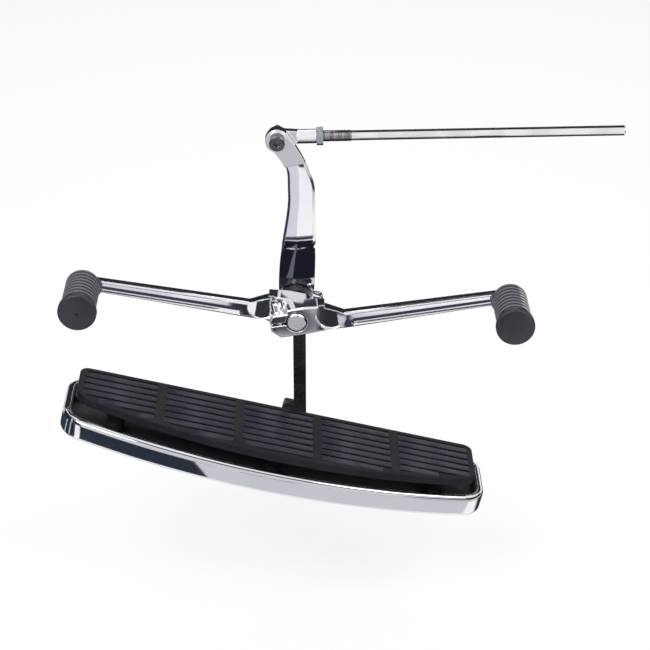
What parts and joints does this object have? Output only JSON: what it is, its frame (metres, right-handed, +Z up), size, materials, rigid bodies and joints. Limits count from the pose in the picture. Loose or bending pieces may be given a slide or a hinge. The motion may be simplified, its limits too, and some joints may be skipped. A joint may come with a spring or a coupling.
{
  "type": "folding motorcycle floorboard with heel-toe shifter",
  "caption": "Folding rider floorboard on a frame rail, with a post that carries a heel-toe shift lever, its arm and a linkage rod.",
  "frame": {"origin": "middle of the rail's inner face, the face that rests on the bike's frame", "axes": "+Y into the bike, square to that face; +X to the bike's rear; +Z up"},
  "size_m": [0.4653, 0.1368, 0.3322],
  "materials": {
    "chrome": "polished chrome plate",
    "bright_steel": "turned and plated steel",
    "zinc_screws": "zinc plate on screws and nuts",
    "dark_steel": "black oxide socket screw",
    "black_casting": "gloss black over a fine casting grain",
    "black_paint": "thin satin black paint on sheet",
    "tread_rubber": "moulded ribbed rubber",
    "peg_rubber": "moulded rubber with soft ridges",
    "bearing_bronze": "plain bearing bronze"
  },
  "bodies": {
    "bracket": {"mount_rail": "black_casting", "shaft_bracket": "black_casting", "outer_bushing": "bearing_bronze", "inner_bushing": "bearing_bronze", "foot_screws": "zinc_screws", "front_hinge_bracket": "black_casting", "rear_hinge_bracket": "black_casting", "hinge_bracket_screws": "zinc_screws"},
    "board": {"floorboard_pan": "chrome", "pan_liner": "black_paint", "tread_pad": "tread_rubber", "pad_plate": "black_paint", "pad_bumpers": "tread_rubber", "bumper_screws": "zinc_screws", "hinge_pins": "bright_steel", "pin_clips": "bright_steel"},
    "shifter": {"shift_shaft": "bright_steel", "heel_lever": "chrome", "toe_lever": "chrome", "heel_pinch_bolt": "chrome", "toe_pinch_bolt": "chrome", "pinch_washers": "chrome", "heel_peg_rubber": "peg_rubber", "toe_peg_rubber": "peg_rubber", "heel_peg_stud": "bright_steel", "toe_peg_stud": "bright_steel", "peg_screws": "zinc_screws", "shift_arm": "chrome", "arm_pinch_bolt": "zinc_screws", "rod_bolt": "dark_steel", "rod_washers": "chrome", "rod_nut": "zinc_screws", "rod_ball": "bright_steel"},
    "linkage": {"rod_end": "chrome", "jam_nut": "chrome", "shift_rod": "bright_steel"}
  },
  "joints": [
    {"name": "shaft_turn", "type": "hinge", "parent": "bracket", "child": "shifter", "pos_m": [0.0261, -0.027, 0.1328], "axis": [0, 1, 0], "range_deg": [-8, 8]},
    {"name": "rod_pivot", "type": "hinge", "parent": "shifter", "child": "linkage", "pos_m": [0.0113, -0.023, 0.2798], "axis": [0, 1, 0], "range_deg": [-8, 8]},
    {"name": "board_fold", "type": "hinge", "parent": "bracket", "child": "board", "pos_m": [0.00188, -0.03, 0.00778], "axis": [-0.972, 0, 0.2351], "range_deg": [0, 40]}
  ],
  "couplings": [
    {"joint": "rod_pivot", "follows": "shaft_turn", "ratio": -1}
  ]
}
